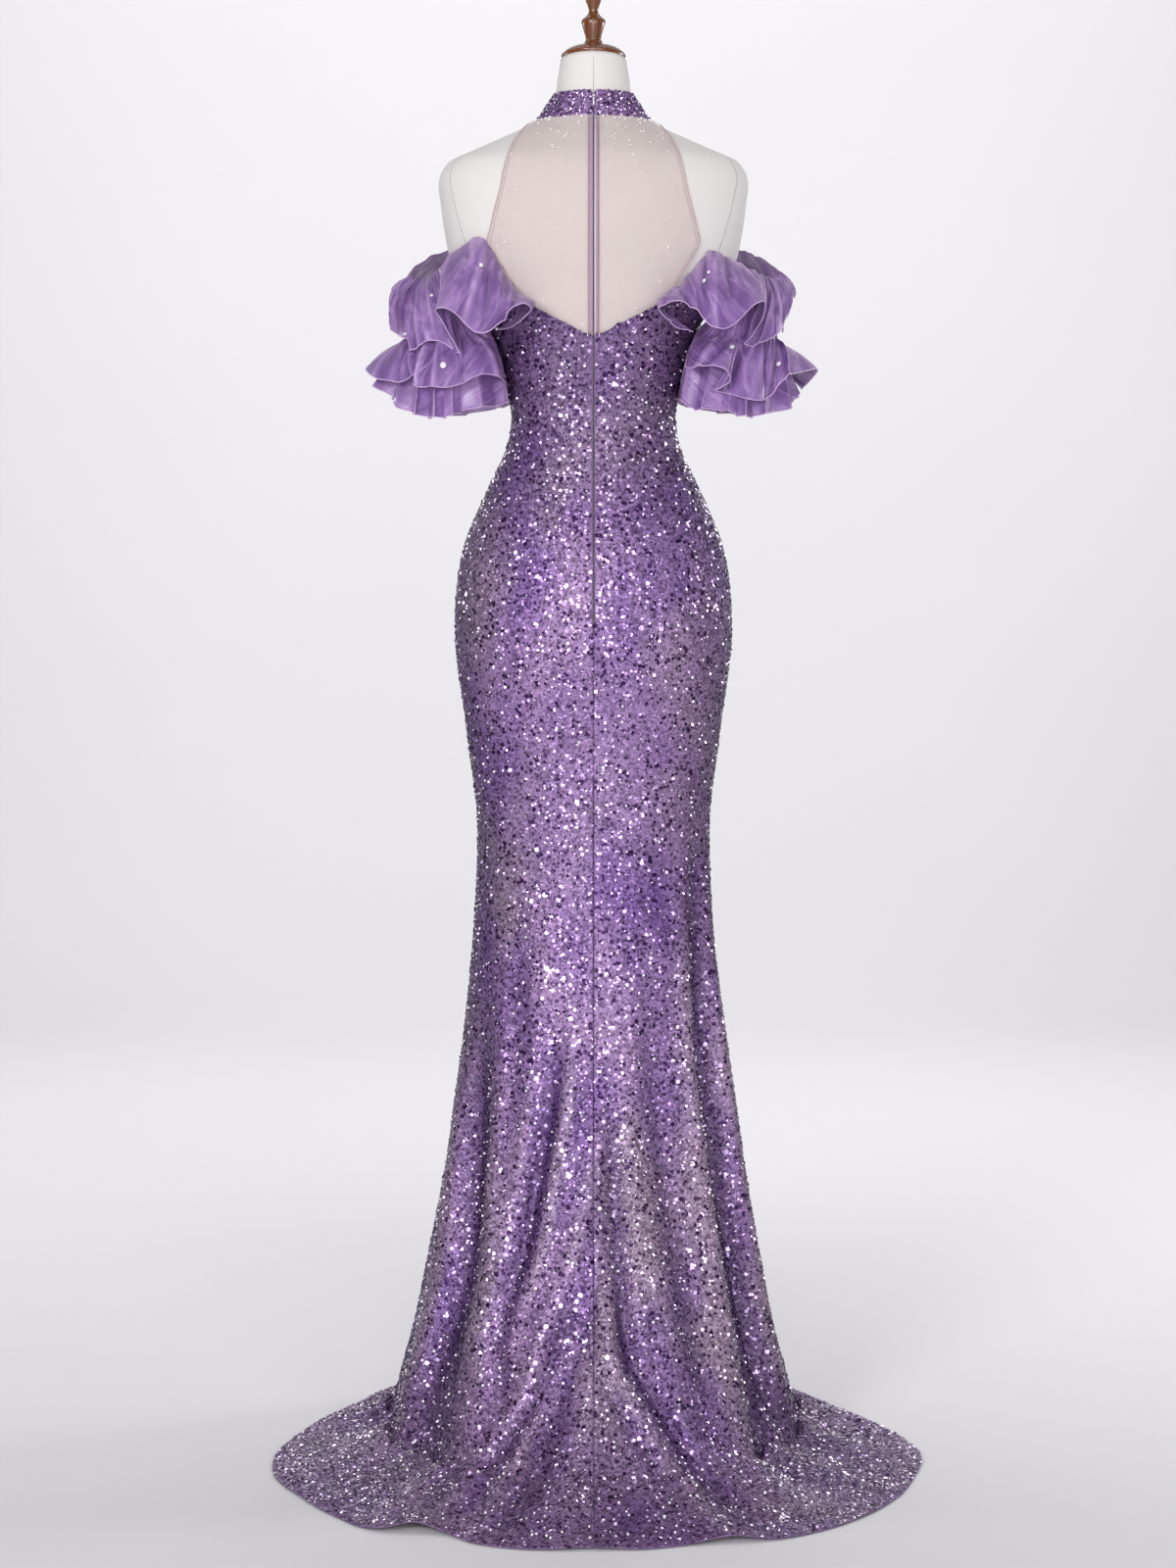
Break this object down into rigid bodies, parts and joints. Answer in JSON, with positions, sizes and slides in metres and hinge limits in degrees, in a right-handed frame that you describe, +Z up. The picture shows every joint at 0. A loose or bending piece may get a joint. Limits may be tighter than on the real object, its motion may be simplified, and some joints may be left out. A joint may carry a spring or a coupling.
{
  "type": "evening gown on a dress form",
  "caption": "Long sequinned gown with sheer zipped yoke, band collar, flounced off-shoulder sleeves and short train, standing on a limbless dress form with a wooden finial.",
  "frame": {"origin": "on the floor, at the middle of the flat foot of the stand's round base, under the pole", "axes": "+Z up along the pole and the form's centre; -Y is the gown's back, with the zip and the train; +Y is its front; +X is the right-hand side as the back is looked at, which is the wearer's right"},
  "size_m": [0.7728, 0.8046, 1.79],
  "materials": {
    "form_linen": "smooth matte linen",
    "turned_wood": "varnished",
    "stand_iron": "satin black",
    "sequin_cloth": "close-set sequins, glittering",
    "tulle": "sheer net",
    "organza": "crisp shimmering organza",
    "zip_tape": "woven tape",
    "zip_coil": "nylon coil",
    "silver": "polished"
  },
  "bodies": {
    "gown": {"back_left": "sequin_cloth", "back_right": "sequin_cloth", "front_right": "sequin_cloth", "front_left": "sequin_cloth", "collar": "sequin_cloth", "yoke_back_left": "tulle", "yoke_back_right": "tulle", "yoke_front": "tulle", "zip_tape_left": "zip_tape", "zip_tape_right": "zip_tape", "zip_coil": "zip_coil", "zip_slider": "silver", "sleeve_left_upper": "organza", "sleeve_left_over": "organza", "sleeve_left_under": "organza", "sleeve_right_upper": "organza", "sleeve_right_over": "organza", "sleeve_right_under": "organza", "form_torso": "form_linen", "neck_cap": "turned_wood", "finial": "turned_wood", "stand_pole": "stand_iron", "stand_base": "stand_iron"},
    "pull": {"zip_pull": "silver"}
  },
  "joints": [
    {"name": "pull_hinge", "type": "hinge", "parent": "gown", "child": "pull", "pos_m": [0, -0.05564, 1.6255], "axis": [-1, 0, 0], "range_deg": [0, 150]}
  ]
}
